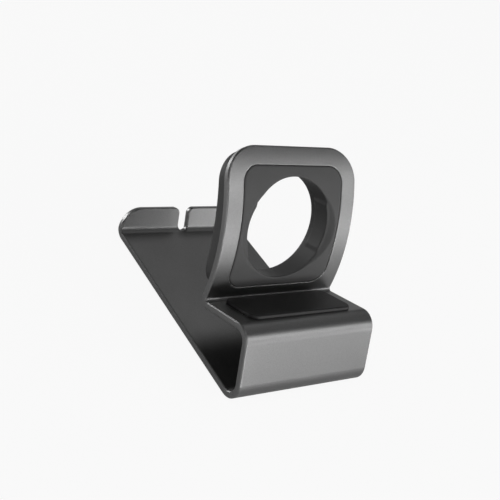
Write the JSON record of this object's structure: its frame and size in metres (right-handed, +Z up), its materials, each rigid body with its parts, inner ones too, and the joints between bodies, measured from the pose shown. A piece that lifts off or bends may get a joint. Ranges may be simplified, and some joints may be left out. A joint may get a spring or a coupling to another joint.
{
  "type": "smartwatch charging dock",
  "caption": "Folded aluminium stand for a smartwatch charger: flat base with a slotted rear lip, padded sloping shelf and a curved back rest with a soft round charger cradle.",
  "frame": {"origin": "on the table, below the middle of the whole dock's outline", "axes": "+X along the width, +Y to the rear, from the front wall to the slotted lip, +Z up"},
  "size_m": [0.045, 0.0762, 0.0547],
  "materials": {
    "anodised_aluminium": "fine bead blasted, satin dark grey anodised",
    "soft_cradle": "matt, moulded",
    "soft_pad": "matt, moulded"
  },
  "bodies": {
    "root": {"folded_stand": "anodised_aluminium", "charger_cradle": "soft_cradle", "shelf_pad": "soft_pad", "base_pad": "soft_pad"}
  },
  "joints": []
}
